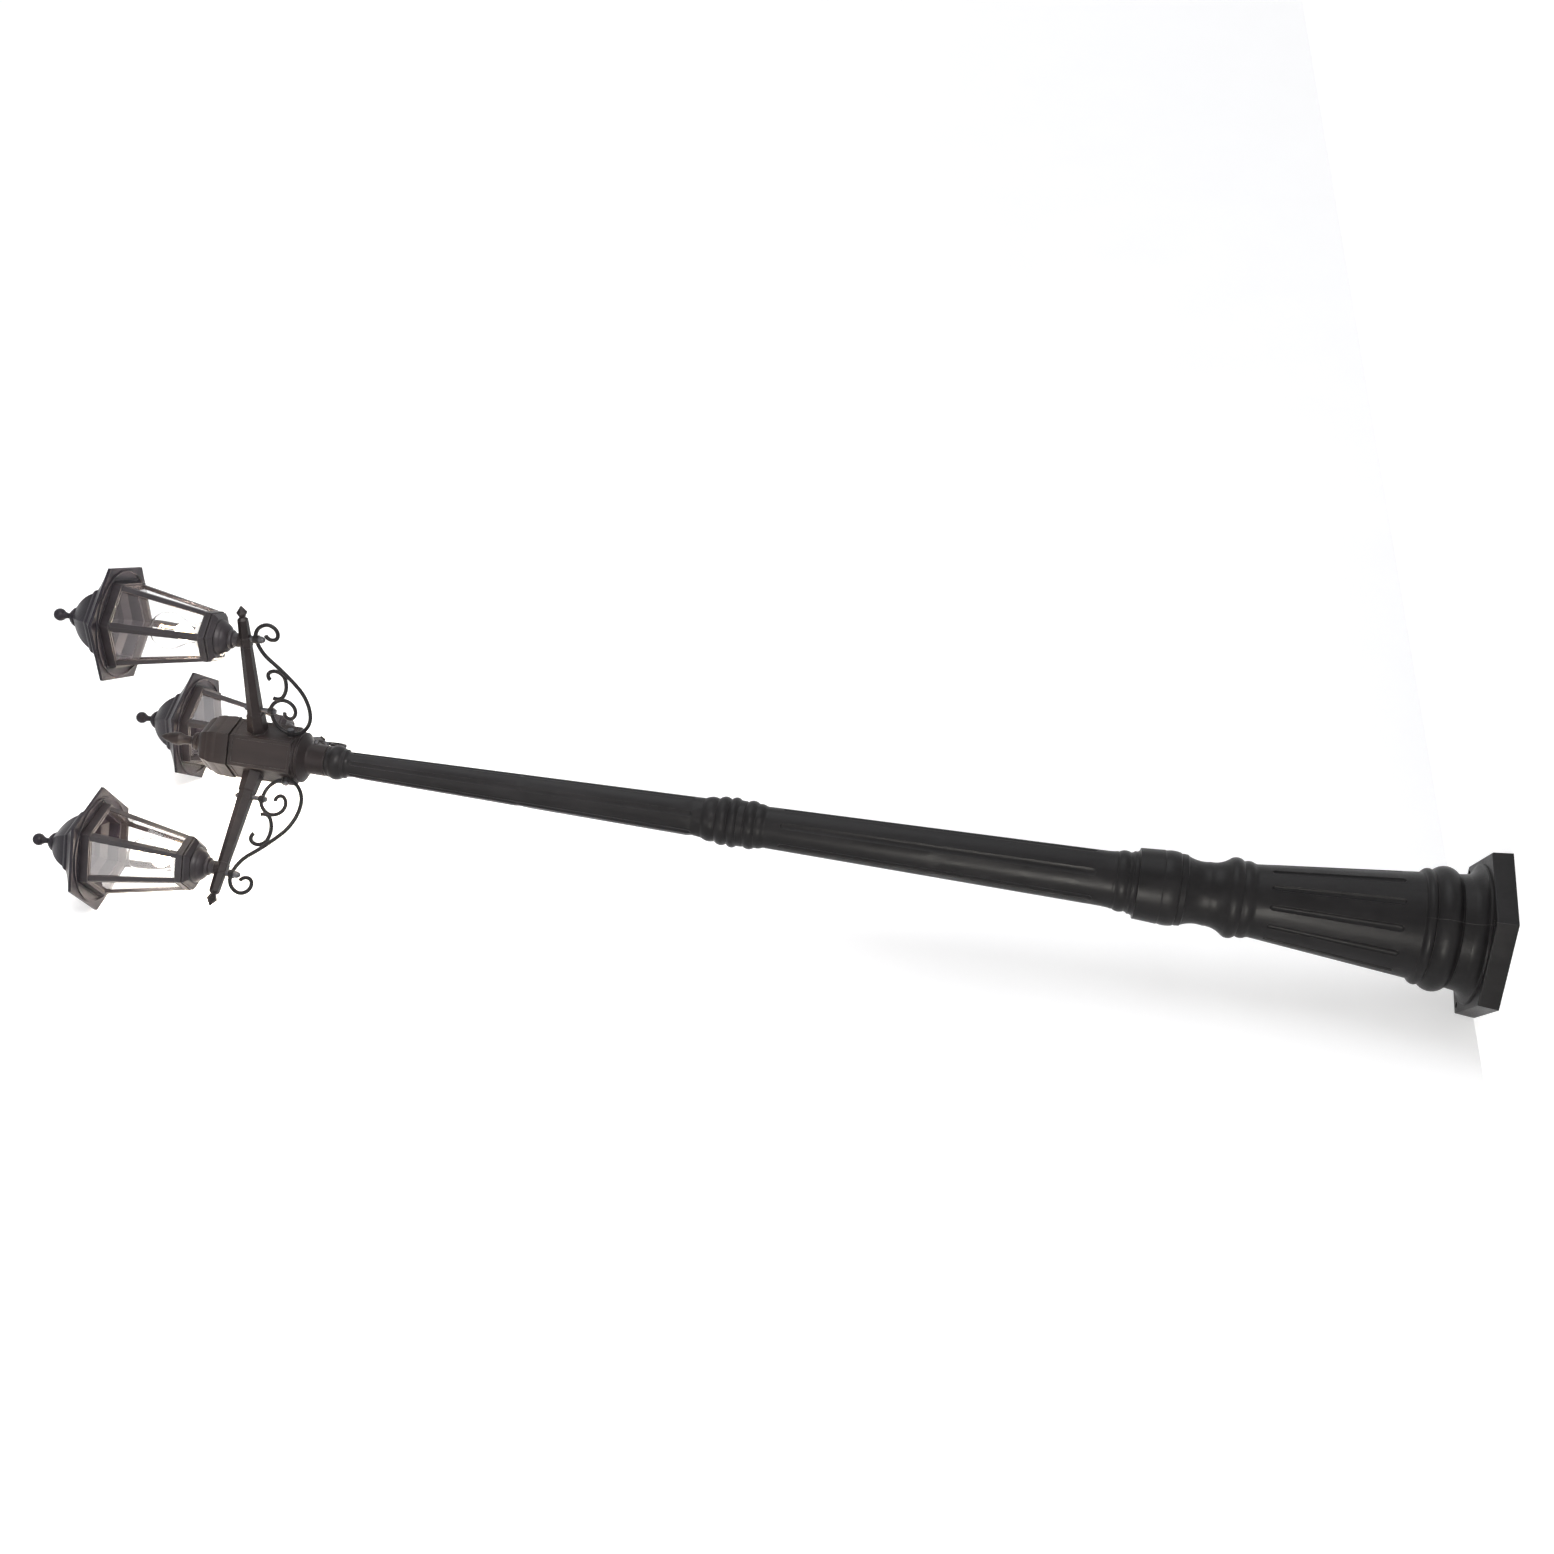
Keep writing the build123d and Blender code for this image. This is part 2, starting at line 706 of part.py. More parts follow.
# ---------------------------------------------------------------- arms and scroll brackets
def arm_part(heading):
    """Cast arm: a six-sided tapered tube with a root boss, a lantern seat and a spear tip."""
    outward = Vector(cos(radians(heading)), sin(radians(heading)), 0)
    side = Vector(0, 0, 1).cross(outward)

    def across(reach):
        return Plane(origin=outward * reach + Vector(0, 0, ARM_HEIGHT), x_dir=side, z_dir=outward)

    with BuildPart() as arm:
        runs = [
            [(ARM_ROOT, 15.9), (BOLT_REACH - 9, 13.9)],
            [(BOLT_REACH - 9, 13.9), (BOLT_REACH - 6, 12.3)],
            [(BOLT_REACH - 6, 12.3), (LANTERN_REACH - COLLAR_HALF, 9.1)],
            [(LANTERN_REACH - COLLAR_HALF, COLLAR_R), (LANTERN_REACH + COLLAR_HALF, COLLAR_R)],
            [(LANTERN_REACH + COLLAR_HALF, 9.0), (236.0, 7.9)],
            [(236.0, 7.9), (239.5, 4.4)],
            [(239.5, 4.4), (247.5, 8.2)],
            [(247.5, 8.2), (ARM_TIP, 1.0)],
        ]
        for ends in runs:
            for reach, radius in ends:
                with BuildSketch(across(reach)):
                    RegularPolygon(radius, SIDES)
            loft()
        with BuildSketch(Plane(origin=outward * LANTERN_REACH + Vector(0, 0, SEAT_HEIGHT - 7))):
            Circle(SEAT_R)
        extrude(amount=7)
        for pad_base in [PAD - BOLT_PAD, -PAD]:
            with BuildSketch(Plane(origin=outward * BOLT_REACH + Vector(0, 0, ARM_HEIGHT + pad_base))):
                Circle(BOLT_PAD_R)
            extrude(amount=BOLT_PAD)
        for reach, radius in [(ARM_BORE_START, 13.6 - ARM_WALL), (LANTERN_REACH + 11, 8.9 - ARM_WALL)]:
            with BuildSketch(across(reach)):
                RegularPolygon(radius, SIDES)
        loft(mode=Mode.SUBTRACT)
        with BuildSketch(across(ARM_ROOT)):
            Circle(STEM_R)
        extrude(amount=ARM_BORE_START + 0.5 - ARM_ROOT, mode=Mode.SUBTRACT)
        with BuildSketch(Plane(origin=outward * LANTERN_REACH + Vector(0, 0, ARM_HEIGHT + 4))):
            Circle(STEM_R)
        extrude(amount=8, mode=Mode.SUBTRACT)
        with BuildSketch(Plane(origin=outward * BOLT_REACH + Vector(0, 0, ARM_HEIGHT - 20))):
            Circle(BOLT_R)
        extrude(amount=40, mode=Mode.SUBTRACT)
        with BuildSketch(Plane(origin=outward * STUD_REACH + Vector(0, 0, ARM_HEIGHT - 20))):
            Circle(STUD_R)
        extrude(amount=18, mode=Mode.SUBTRACT)
    return arm.part


def arm_fixing_part(heading):
    """Hollow screwed stem that holds an arm to the hub wall, and its nut inside the hub."""
    outward = Vector(cos(radians(heading)), sin(radians(heading)), 0)
    inner_wall = HUB_CAVITY_R * APOTHEM
    inner_end = inner_wall - STEM_INSIDE
    start = Plane(origin=outward * inner_end + Vector(0, 0, ARM_HEIGHT), z_dir=outward)
    with BuildPart() as fixing:
        with BuildSketch(start):
            Circle(STEM_R)
            Circle(STEM_R - STEM_WALL, mode=Mode.SUBTRACT)
        extrude(amount=STEM_REACH - inner_end)
        with BuildSketch(start.offset(STEM_INSIDE - STEM_NUT)):
            RegularPolygon(STEM_NUT_R, SIDES)
            Circle(STEM_R + THREAD_GAP, mode=Mode.SUBTRACT)
        extrude(amount=STEM_NUT)
    return fixing.part


def scroll_part(heading):
    """Wrought bracket under an arm: a long S bar with two smaller scrolls welded to it."""
    outward = Vector(cos(radians(heading)), sin(radians(heading)), 0)
    side = outward.cross(Vector(0, 0, 1))
    upright = Plane(origin=(0, 0, 0), x_dir=outward, z_dir=side)
    lines = [
        arc_chain(
            upright,
            (212.6, 1814.2),
            201,
            [
                (10, 140),
                (14, 127),
                (25, 80),
                (56, 40),
                (315, -10),
                (76, -39.5),
                (46, -44),
                (27, -47.5),
                (29, -76),
                (54, -13),
            ],
        ),
        arc_chain(upright, (83.5, 1820.8), -21, [(29, -43), (17.2, -169), (7, -103), (6.6, -45)]),
        arc_chain(upright, (103, 1815), -114, [(13.2, 80), (43, 45.5), (14.2, 118), (9.3, 94)]),
    ]
    with BuildPart() as scroll:
        for line in lines:
            with BuildSketch(Plane(origin=line @ 0, z_dir=line % 0)):
                Circle(ROD_BAR_R)
            sweep(path=line)
        with BuildSketch(Plane(origin=outward * STUD_REACH + Vector(0, 0, EYE_LOW))):
            Circle(STUD_EYE_R)
        extrude(amount=EYE_HIGH - EYE_LOW)
        with BuildSketch(Plane(origin=outward * BOLT_REACH + Vector(0, 0, BOLT_EYE_LOW))):
            Circle(BOLT_EYE_R)
        extrude(amount=BOLT_EYE_HIGH - BOLT_EYE_LOW)
        eye = Plane(origin=outward * ARM_ROOT + Vector(0, 0, EYE_SCREW_HEIGHT), z_dir=outward)
        with BuildSketch(eye):
            Circle(SCREW_EYE_R)
        extrude(amount=EYE_SCREW_REACH - ARM_ROOT)
        with BuildSketch(eye.offset(-2)):
            Circle(SCREW_R)
        extrude(amount=14, mode=Mode.SUBTRACT)
        with BuildSketch(Plane(origin=outward * STUD_REACH + Vector(0, 0, EYE_LOW - 4))):
            Circle(STUD_R)
        extrude(amount=EYE_CUT, mode=Mode.SUBTRACT)
        with BuildSketch(Plane(origin=outward * BOLT_REACH + Vector(0, 0, BOLT_EYE_LOW - 4))):
            Circle(BOLT_R)
        extrude(amount=EYE_CUT, mode=Mode.SUBTRACT)
        with BuildSketch(eye.offset(-20)):
            Circle(40)
        extrude(amount=20, mode=Mode.SUBTRACT)
    return scroll.part


def scroll_fixings_part(heading):
    """What holds a scroll: a stud with acorn nut and spacer, a through bolt, and a hub screw."""
    outward = Vector(cos(radians(heading)), sin(radians(heading)), 0)

    def level(reach, height):
        return Plane(origin=outward * reach + Vector(0, 0, height))

    with BuildPart() as fixings:
        with BuildSketch(level(STUD_REACH, EYE_LOW - STUD_BELOW)):
            Circle(STUD_R)
        extrude(amount=ARM_HEIGHT - 4.5 - EYE_LOW + STUD_BELOW)
        with BuildSketch(level(STUD_REACH, EYE_HIGH)):
            Circle(SPACER_R)
            Circle(STUD_R + THREAD_GAP, mode=Mode.SUBTRACT)
        extrude(amount=ARM_HEIGHT - COLLAR_R * APOTHEM - EYE_HIGH)
        with BuildSketch(level(STUD_REACH, EYE_LOW - ACORN_NUT)):
            RegularPolygon(ACORN_NUT_R, SIDES)
            Circle(STUD_R - 0.3, mode=Mode.SUBTRACT)
        extrude(amount=ACORN_NUT)
        with Locations(level(STUD_REACH, EYE_LOW - ACORN_NUT)):
            Sphere(ACORN_DOME_R)
        with BuildSketch(level(BOLT_REACH, BOLT_EYE_LOW - 2)):
            Circle(BOLT_R)
        extrude(amount=ARM_HEIGHT + PAD + BOLT_ABOVE - BOLT_EYE_LOW + 2)
        with BuildSketch(level(BOLT_REACH, BOLT_EYE_LOW - BOLT_HEAD)):
            Circle(BOLT_HEAD_R)
        extrude(amount=BOLT_HEAD)
        with BuildSketch(level(BOLT_REACH, BOLT_EYE_HIGH)):
            Circle(BOLT_SPACER_R)
            Circle(BOLT_R + THREAD_GAP, mode=Mode.SUBTRACT)
        extrude(amount=ARM_HEIGHT - PAD - BOLT_EYE_HIGH)
        with BuildSketch(level(BOLT_REACH, ARM_HEIGHT + PAD)):
            RegularPolygon(BOLT_NUT_R, SIDES)
            Circle(BOLT_R + THREAD_GAP, mode=Mode.SUBTRACT)
        extrude(amount=BOLT_HEAD)
        screw = Plane(origin=outward * EYE_SCREW_REACH + Vector(0, 0, EYE_SCREW_HEIGHT), z_dir=outward)
        with BuildSketch(screw.offset(-EYE_SCREW_LENGTH)):
            Circle(SCREW_R)
        extrude(amount=EYE_SCREW_LENGTH)
        with BuildSketch(screw):
            RegularPolygon(EYE_SCREW_HEAD_R, SIDES)
        extrude(amount=EYE_SCREW_HEAD)
    return fixings.part


def lead_part(heading):
    """Lamp lead: from the terminal block, out through the arm and up to the lamp holder."""
    outward = Vector(cos(radians(heading)), sin(radians(heading)), 0)
    side = Vector(0, 0, 1).cross(outward)
    stops = [
        (14, 0, BLOCK_TOP, 0),
        (14, 0, ARM_HEIGHT, 9),
        (60, 0, ARM_HEIGHT, 14),
        (72, 4.7, ARM_HEIGHT - 1, 14),
        (96, 4.7, ARM_HEIGHT - 2, 40),
        (178, 0, ARM_HEIGHT - 3, 40),
        (LANTERN_REACH, 0, ARM_HEIGHT - 3, 6.5),
        (LANTERN_REACH, 0, SEAT_HEIGHT + STEM_TOP, 0),
    ]
    corners = [outward * s + side * w + Vector(0, 0, z) for s, w, z, _ in stops]
    with BuildLine() as route:
        here = corners[0]
        for back, corner, ahead, stop in zip(corners, corners[1:], corners[2:], stops[1:]):
            come = (corner - back).normalized()
            leave = (ahead - corner).normalized()
            bend = radians(come.get_angle(leave))
            cut = stop[3] * sin(bend / 2) / cos(bend / 2)
            Line(here, corner - come * cut)
            TangentArc(corner - come * cut, corner + leave * cut, tangent=come)
            here = corner + leave * cut
        Line(here, corners[-1])
    with BuildPart() as lead:
        with BuildSketch(Plane(origin=corners[0], z_dir=UP)):
            Circle(LEAD_R)
        sweep(path=route.line)
    return lead.part


# ---------------------------------------------------------------- lanterns
def lantern_plane(heading, turn):
    """Level plane on a lantern's seat, with X toward one corner of its six sides."""
    return Plane(
        origin=(
            LANTERN_REACH * cos(radians(heading)),
            LANTERN_REACH * sin(radians(heading)),
            SEAT_HEIGHT,
        ),
        x_dir=(cos(radians(heading + turn)), sin(radians(heading + turn)), 0),
        z_dir=UP,
    )


def upright_on(base):
    """Upright plane through a lantern's axis: X outward, Y up."""
    return Plane(origin=base.origin, x_dir=base.x_dir, z_dir=base.y_dir * -1)


def lantern_nipple_part(base):
    """Threaded tube from arm to lamp holder, with the nut that clamps the cup to the arm."""
    with BuildPart() as nipple:
        with BuildSketch(base.offset(-STEM_BELOW)):
            Circle(STEM_R)
            Circle(STEM_R - 2, mode=Mode.SUBTRACT)
        extrude(amount=STEM_TOP + STEM_BELOW)
        with BuildSketch(base.offset(CUP_FLOOR)):
            RegularPolygon(CUP_NUT_R, SIDES)
            Circle(STEM_R + THREAD_GAP, mode=Mode.SUBTRACT)
        extrude(amount=CUP_NUT)
    return nipple.part


def cup_part(base):
    """Cast cup under the lantern: a turned foot, a round bowl and a six-sided tray above."""
    upright = upright_on(base)
    axis = Axis(base.origin, UP)
    with BuildPart() as cup:
        revolve(
            turned(
                upright,
                [
                    (0, 0),
                    (10.4, 0),
                    (10.4, 7.0),
                    (12.6, 8.2),
                    (14.0, 10.2, 0.4),
                    (13.6, 13.4, 0.5),
                    (15.6, 14.0),
                    (22.8, 21.0, 0.8),
                    (27.0, BOWL_TOP, 0.8),
                    (0, BOWL_TOP),
                ],
            ),
            axis=axis,
        )
        for height, radius in [(TRAY_BASE, 34.0), (CUP_BAND, CUP_RIM_R)]:
            with BuildSketch(base.offset(height)):
                RegularPolygon(radius, SIDES)
        loft()
        for height, radius, top in [
            (CUP_BAND, CUP_RIM_R, CUP_GROOVE),
            (CUP_GROOVE, CUP_GROOVE_R, CUP_RIM),
        ]:
            with BuildSketch(base.offset(height)):
                RegularPolygon(radius, SIDES)
            extrude(amount=top - height)
        hollow = [(0, CUP_FLOOR), (12, CUP_FLOOR), (18.5, 21.5), (22.5, 28.5), (0, 28.5)]
        revolve(turned(upright, hollow), axis=axis, mode=Mode.SUBTRACT)
        for height, radius in [(28.4, 25.5), (TRAY_FLOOR, 33.0)]:
            with BuildSketch(base.offset(height)):
                RegularPolygon(radius, SIDES)
        loft(mode=Mode.SUBTRACT)
        with BuildSketch(base.offset(TRAY_FLOOR)):
            RegularPolygon(SPIGOT_R, SIDES)
        extrude(amount=CUP_RIM - TRAY_FLOOR, mode=Mode.SUBTRACT)
        with BuildSketch(base):
            Circle(STEM_R + RUN_GAP)
        extrude(amount=CUP_FLOOR + 1, mode=Mode.SUBTRACT)
    return cup.part


def cage_part(base):
    """Cast six-sided cage: a bottom ring with a spigot, six corner bars and a top ring."""
    with BuildPart() as cage:
        with BuildSketch(base.offset(CUP_RIM - SPIGOT)):
            RegularPolygon(SPIGOT_R, SIDES)
            RegularPolygon(SPIGOT_BORE_R, SIDES, mode=Mode.SUBTRACT)
        extrude(amount=SPIGOT)
        with BuildSketch(base.offset(CUP_RIM)):
            RegularPolygon(CAGE_FOOT_R, SIDES)
        extrude(amount=CAGE_LOW_RING - CUP_RIM)
        for height, radius in [(CAGE_LOW_RING, CAGE_LOW_R), (CAGE_HIGH_RING, CAGE_HIGH_R)]:
            with BuildSketch(base.offset(height)):
                RegularPolygon(radius, SIDES)
        loft()
        with BuildSketch(base.offset(CAGE_HIGH_RING)):
            RegularPolygon(CAGE_TOP_R, SIDES)
        extrude(amount=CAGE_TOP - CAGE_HIGH_RING)
        with BuildSketch(base.offset(CUP_RIM)):
            RegularPolygon(SPIGOT_BORE_R, SIDES)
        extrude(amount=CAGE_LOW_RING - CUP_RIM, mode=Mode.SUBTRACT)
        for height, radius in [(CAGE_LOW_RING, CAGE_LOW_R), (CAGE_HIGH_RING, CAGE_HIGH_R)]:
            with BuildSketch(base.offset(height)):
                RegularPolygon(radius - CAGE_SHELL, SIDES)
        loft(mode=Mode.SUBTRACT)
        with BuildSketch(base.offset(CAGE_HIGH_RING)):
            RegularPolygon(CAGE_MOUTH_R, SIDES)
        extrude(amount=CAGE_TOP - CAGE_HIGH_RING, mode=Mode.SUBTRACT)
        for window in range(SIDES // 2):
            swing = radians(60 * window + 30)
            facing = base.x_dir * cos(swing) + base.y_dir * sin(swing)
            along = base.y_dir * cos(swing) - base.x_dir * sin(swing)
            opening = Plane(origin=base.origin, x_dir=along, z_dir=facing).offset(-CAGE_REACH)
            low = (CAGE_LOW_R - 12.5) / 2
            high = (CAGE_HIGH_R - 15.5) / 2
            with BuildSketch(opening):
                with BuildLine():
                    Polyline(
                        (-low, CAGE_LOW_RING + 1),
                        (low, CAGE_LOW_RING + 1),
                        (high, CAGE_HIGH_RING - 1),
                        (-high, CAGE_HIGH_RING - 1),
                        close=True,
                    )
                make_face()
            extrude(amount=2 * CAGE_REACH, mode=Mode.SUBTRACT)
    return cage.part


def panes_part(base):
    """Six clear panes that lean against the cage's bars, between its two rings."""
    with BuildPart() as panes:
        for skin, mode in [
            (CAGE_SHELL, Mode.ADD),
            (CAGE_SHELL + PANE / APOTHEM, Mode.SUBTRACT),
        ]:
            for height, radius in [(CAGE_LOW_RING, CAGE_LOW_R), (CAGE_HIGH_RING, CAGE_HIGH_R)]:
                with BuildSketch(base.offset(height)):
                    RegularPolygon(radius - skin, SIDES)
            loft(mode=mode)
        for corner in range(SIDES // 2):
            with BuildSketch(base.offset(CAGE_LOW_RING)):
                Rectangle(2 * CAGE_REACH, PANE_GAP, rotation=60 * corner)
            extrude(amount=CAGE_HIGH_RING - CAGE_LOW_RING, mode=Mode.SUBTRACT)
    return panes.part


def roof_part(base):
    """Cast six-sided roof: a wide brim with ribs under it, a step and a dome, all hollow."""
    upright = upright_on(base)
    brim = BRIM_R * APOTHEM
    outside = [
        (brim, CAGE_TOP),
        (brim, CAGE_TOP + BRIM_EDGE),
        (47.5, 212.5, -1.0),
        (46.0, 217.0),
        (43.4, 220.5),
        (41.2, 221.5),
        (16.5, 253.0, 2.6),
        (14.4, DOME_TOP),
    ]
    inside = [
        (50.6, CAGE_TOP - ROOF_SPIGOT),
        (50.6, 198),
        (43.0, 207),
        (40.8, 214.5),
        (37.6, 219.5),
        (15.5, 247.5, 2.4),
    ]
    outer = hexagonal(upright, outside, ROOF_REACH)
    inner = hexagonal(upright, inside, ROOF_REACH)
    with BuildPart() as roof:
        add(outer)
        with BuildSketch(base.offset(CAGE_TOP - ROOF_SPIGOT)):
            RegularPolygon(ROOF_SPIGOT_R, SIDES)
        extrude(amount=ROOF_SPIGOT + 1)
        with BuildSketch(base.offset(CAGE_TOP - ROUND_RIB)):
            Circle(ROUND_RIB_R)
            Circle(ROUND_RIB_R - ROUND_RIB_WIDTH, mode=Mode.SUBTRACT)
        extrude(amount=ROUND_RIB + RIB_ROOT)
        with BuildSketch(base.offset(CAGE_TOP - STRAIGHT_RIB)):
            RegularPolygon(STRAIGHT_RIB_R, SIDES)
            RegularPolygon(STRAIGHT_RIB_R - STRAIGHT_RIB_WIDTH, SIDES, mode=Mode.SUBTRACT)
        extrude(amount=STRAIGHT_RIB + RIB_ROOT)
        add(inner, mode=Mode.SUBTRACT)
        with BuildSketch(base.offset(CAP_BOSS)):
            Circle(CAP_BOSS_R)
        extrude(amount=12)
        with BuildSketch(base.offset(CAP_BOSS)):
            Circle(FINIAL_SCREW_R)
        extrude(amount=DOME_TOP + 1 - CAP_BOSS, mode=Mode.SUBTRACT)
    return roof.part


def roof_finial_part(base):
    """Turned ball finial, screwed into the dome."""
    with BuildPart() as finial:
        revolve(
            turned(
                upright_on(base),
                [
                    (0, DOME_TOP - FINIAL_SCREW),
                    (FINIAL_SCREW_R, DOME_TOP - FINIAL_SCREW),
                    (FINIAL_SCREW_R, DOME_TOP),
                    (14.2, DOME_TOP),
                    (14.4, DOME_TOP + 4.0, 0.8),
                    (13.2, DOME_TOP + 6.5),
                    (9.6, DOME_TOP + 10.2, -0.3),
                    (5.4, DOME_TOP + 11.6),
                    (4.2, DOME_TOP + 15.5, -0.3),
                    (5.8, DOME_TOP + 22.0, -0.4),
                    (0, DOME_TOP + 22.0),
                ],
            ),
            axis=Axis(base.origin, UP),
        )
        with Locations(base.offset(LANTERN_TOP - BALL_R)):
            Sphere(BALL_R)
    return finial.part


def lamp_holder_part(base):
    """Moulded lamp holder, screwed on the nipple, with the lamp's threaded socket above."""
    with BuildPart() as holder:
        revolve(
            turned(
                upright_on(base),
                [
                    (STEM_R + THREAD_GAP, HOLDER_BASE),
                    (8.4, HOLDER_BASE),
                    (8.4, 27.5),
                    (15.0, 28.5),
                    (16.2, 35.5),
                    (19.0, 36.5),
                    (19.0, HOLDER_TOP),
                    (LAMP_CAP_R + RUN_GAP, HOLDER_TOP),
                    (LAMP_CAP_R + RUN_GAP, CONTACT),
                    (0, CONTACT),
                    (0, STEM_TOP),
                    (STEM_R + THREAD_GAP, STEM_TOP),
                ],
            ),
            axis=Axis(base.origin, UP),
        )
    return holder.part


def bulb_cap_part(base):
    """Lamp cap: rolled thread, insulated foot and centre contact."""
    threads = [(12.2, 44 + THREAD_PITCH * k, 0.6) for k in range(THREADS)]
    with BuildPart() as cap:
        revolve(
            turned(
                upright_on(base),
                [
                    (0, CONTACT),
                    (4.5, CONTACT),
                    (5.0, 37.5),
                    (9.0, 38.5),
                    (12.2, 41),
                    *threads,
                    (LAMP_CAP_R, 59),
                    (LAMP_CAP_R, LAMP_CAP_TOP),
                    (9.5, LAMP_CAP_TOP),
                    (9.5, 48),
                    (0, 48),
                ],
            ),
            axis=Axis(base.origin, UP),
        )
    return cap.part


def bulb_glass_part(base):
    """Clear round glass of the lamp, one millimetre thick."""
    upright = upright_on(base)
    axis = Axis(base.origin, UP)
    with BuildPart() as glass:
        outline = [
            (0, LAMP_CAP_TOP),
            (12.6, LAMP_CAP_TOP),
            (13.4, 71),
            (24.25, 96, -0.8),
            (0, 96),
        ]
        revolve(turned(upright, outline), axis=axis)
        with Locations(base.offset(BULB_TOP - BULB_R)):
            Sphere(BULB_R)
        inside = [
            (0, LAMP_CAP_TOP),
            (11.6, LAMP_CAP_TOP),
            (12.4, 71),
            (23.09, 96, -0.8),
            (0, 96),
        ]
        revolve(turned(upright, inside), axis=axis, mode=Mode.SUBTRACT)
        with Locations(base.offset(BULB_TOP - BULB_R)):
            Sphere(BULB_R - BULB_WALL, mode=Mode.SUBTRACT)
    return glass.part


def filament_part(base):
    """Glass stem with four upright filaments that stand in a ring."""
    with BuildPart() as filament:
        revolve(
            turned(
                upright_on(base),
                [(0, 48), (9.4, 48), (9.4, 52), (3.6, 58), (3.0, 84), (1.0, 88), (0, 88)],
            ),
            axis=Axis(base.origin, UP),
        )
        for height, outer_r, inner_r in [(FILAMENT_LOW, 8.6, 2.4), (FILAMENT_HIGH, 7.2, 4.8)]:
            with BuildSketch(base.offset(height)):
                Circle(outer_r)
                Circle(inner_r, mode=Mode.SUBTRACT)
            extrude(amount=1.2)
        with BuildSketch(base.offset(FILAMENT_LOW)):
            with PolarLocations(FILAMENT_CIRCLE_R, FILAMENTS):
                Circle(FILAMENT_R)
        extrude(amount=FILAMENT_HIGH + 1 - FILAMENT_LOW)
    return filament.part


# ---------------------------------------------------------------- write every piece
pieces = [
    base_foot.part,
    base_column.part,
    lower_pole.part,
    upper_pole.part,
    neck_screw.part,
    hub.part,
    hub_tie_rod.part,
    hub_cap.part,
    hub_finial.part,
    terminal_block.part,
    *nipples.values(),
]

for side_name, arm_heading in ARM_HEADINGS.items():
    seat = lantern_plane(arm_heading, LANTERN_TURNS[side_name])
    made = {
        "arm": arm_part(arm_heading),
        "arm_fixing": arm_fixing_part(arm_heading),
        "scroll": scroll_part(arm_heading),
        "scroll_fixings": scroll_fixings_part(arm_heading),
        "lead": lead_part(arm_heading),
        "lantern_nipple": lantern_nipple_part(seat),
        "cup": cup_part(seat),
        "cage": cage_part(seat),
        "panes": panes_part(seat),
        "roof": roof_part(seat),
        "roof_finial": roof_finial_part(seat),
        "lamp_holder": lamp_holder_part(seat),
        "bulb_cap": bulb_cap_part(seat),
        "bulb_glass": bulb_glass_part(seat),
        "filament": filament_part(seat),
    }
    for piece_name, piece in made.items():
        piece.label = f"{piece_name}_{side_name}"
        pieces.append(piece)

os.makedirs("parts", exist_ok=True)
for piece in pieces:
    export_step(piece, f"parts/{piece.label}.step")
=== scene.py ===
import math

import bpy
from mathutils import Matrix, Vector


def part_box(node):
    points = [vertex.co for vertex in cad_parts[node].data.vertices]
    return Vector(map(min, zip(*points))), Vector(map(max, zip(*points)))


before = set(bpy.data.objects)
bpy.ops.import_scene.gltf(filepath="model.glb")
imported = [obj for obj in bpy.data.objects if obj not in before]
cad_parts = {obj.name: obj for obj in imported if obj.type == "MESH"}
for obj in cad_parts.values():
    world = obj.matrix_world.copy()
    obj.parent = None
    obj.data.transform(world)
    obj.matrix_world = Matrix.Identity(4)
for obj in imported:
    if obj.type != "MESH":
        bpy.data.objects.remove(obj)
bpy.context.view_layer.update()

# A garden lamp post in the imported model's frame: metres, +Z up, the foot's underside on Z = 0, and
# the hub's front face toward -Y. In the photograph it lies on its side, so the camera is rolled.

SIDES = ("right", "left", "back")


def place_object(name, data, location=(0, 0, 0)):
    """Puts a camera, lamp or mesh in the scene as an object."""
    placed = bpy.data.objects.new(name, data)
    placed.location = location
    bpy.context.scene.collection.objects.link(placed)
    return placed


def each_side(*kinds):
    """The names of these kinds of node on all three sides."""
    return [f"{kind}_{side}" for kind in kinds for side in SIDES]


# ---------------------------------------------------------------- camera, as the photograph saw it
CAMERA_PLACE = (0.3595, -2.7640, 0.700)
CAMERA_TURN_DEG = (130.5456, 79.0112, 45.8636)
CAMERA_LENS_MM = 43.696
CAMERA_NEAR = 0.05
SENSOR_MM = 36.0


def add_camera():
    """The photograph's camera, level with the lower pole and rolled on its side."""
    lens = bpy.data.cameras.new("camera")
    lens.sensor_width = SENSOR_MM
    lens.lens = CAMERA_LENS_MM
    lens.clip_start = CAMERA_NEAR
    camera = place_object("camera", lens, CAMERA_PLACE)
    camera.rotation_euler = [math.radians(turn) for turn in CAMERA_TURN_DEG]
    bpy.context.scene.camera = camera


# ---------------------------------------------------------------- node graphs
EDGE_SAMPLES = 6
EDGE_SHARP = 0.75
EDGE_SOFT = 0.995


def eye_rays(tree):
    """1 on what the camera sees, directly, mirrored or through glass, and 0 for other light."""
    rays = tree.nodes.new("ShaderNodeLightPath")
    seen = rays.outputs["Is Camera Ray"]
    for kind in ("Is Glossy Ray", "Is Transmission Ray"):
        either = tree.nodes.new("ShaderNodeMath")
        either.operation = "MAXIMUM"
        tree.links.new(seen, either.inputs[0])
        tree.links.new(rays.outputs[kind], either.inputs[1])
        seen = either.outputs[0]
    return seen


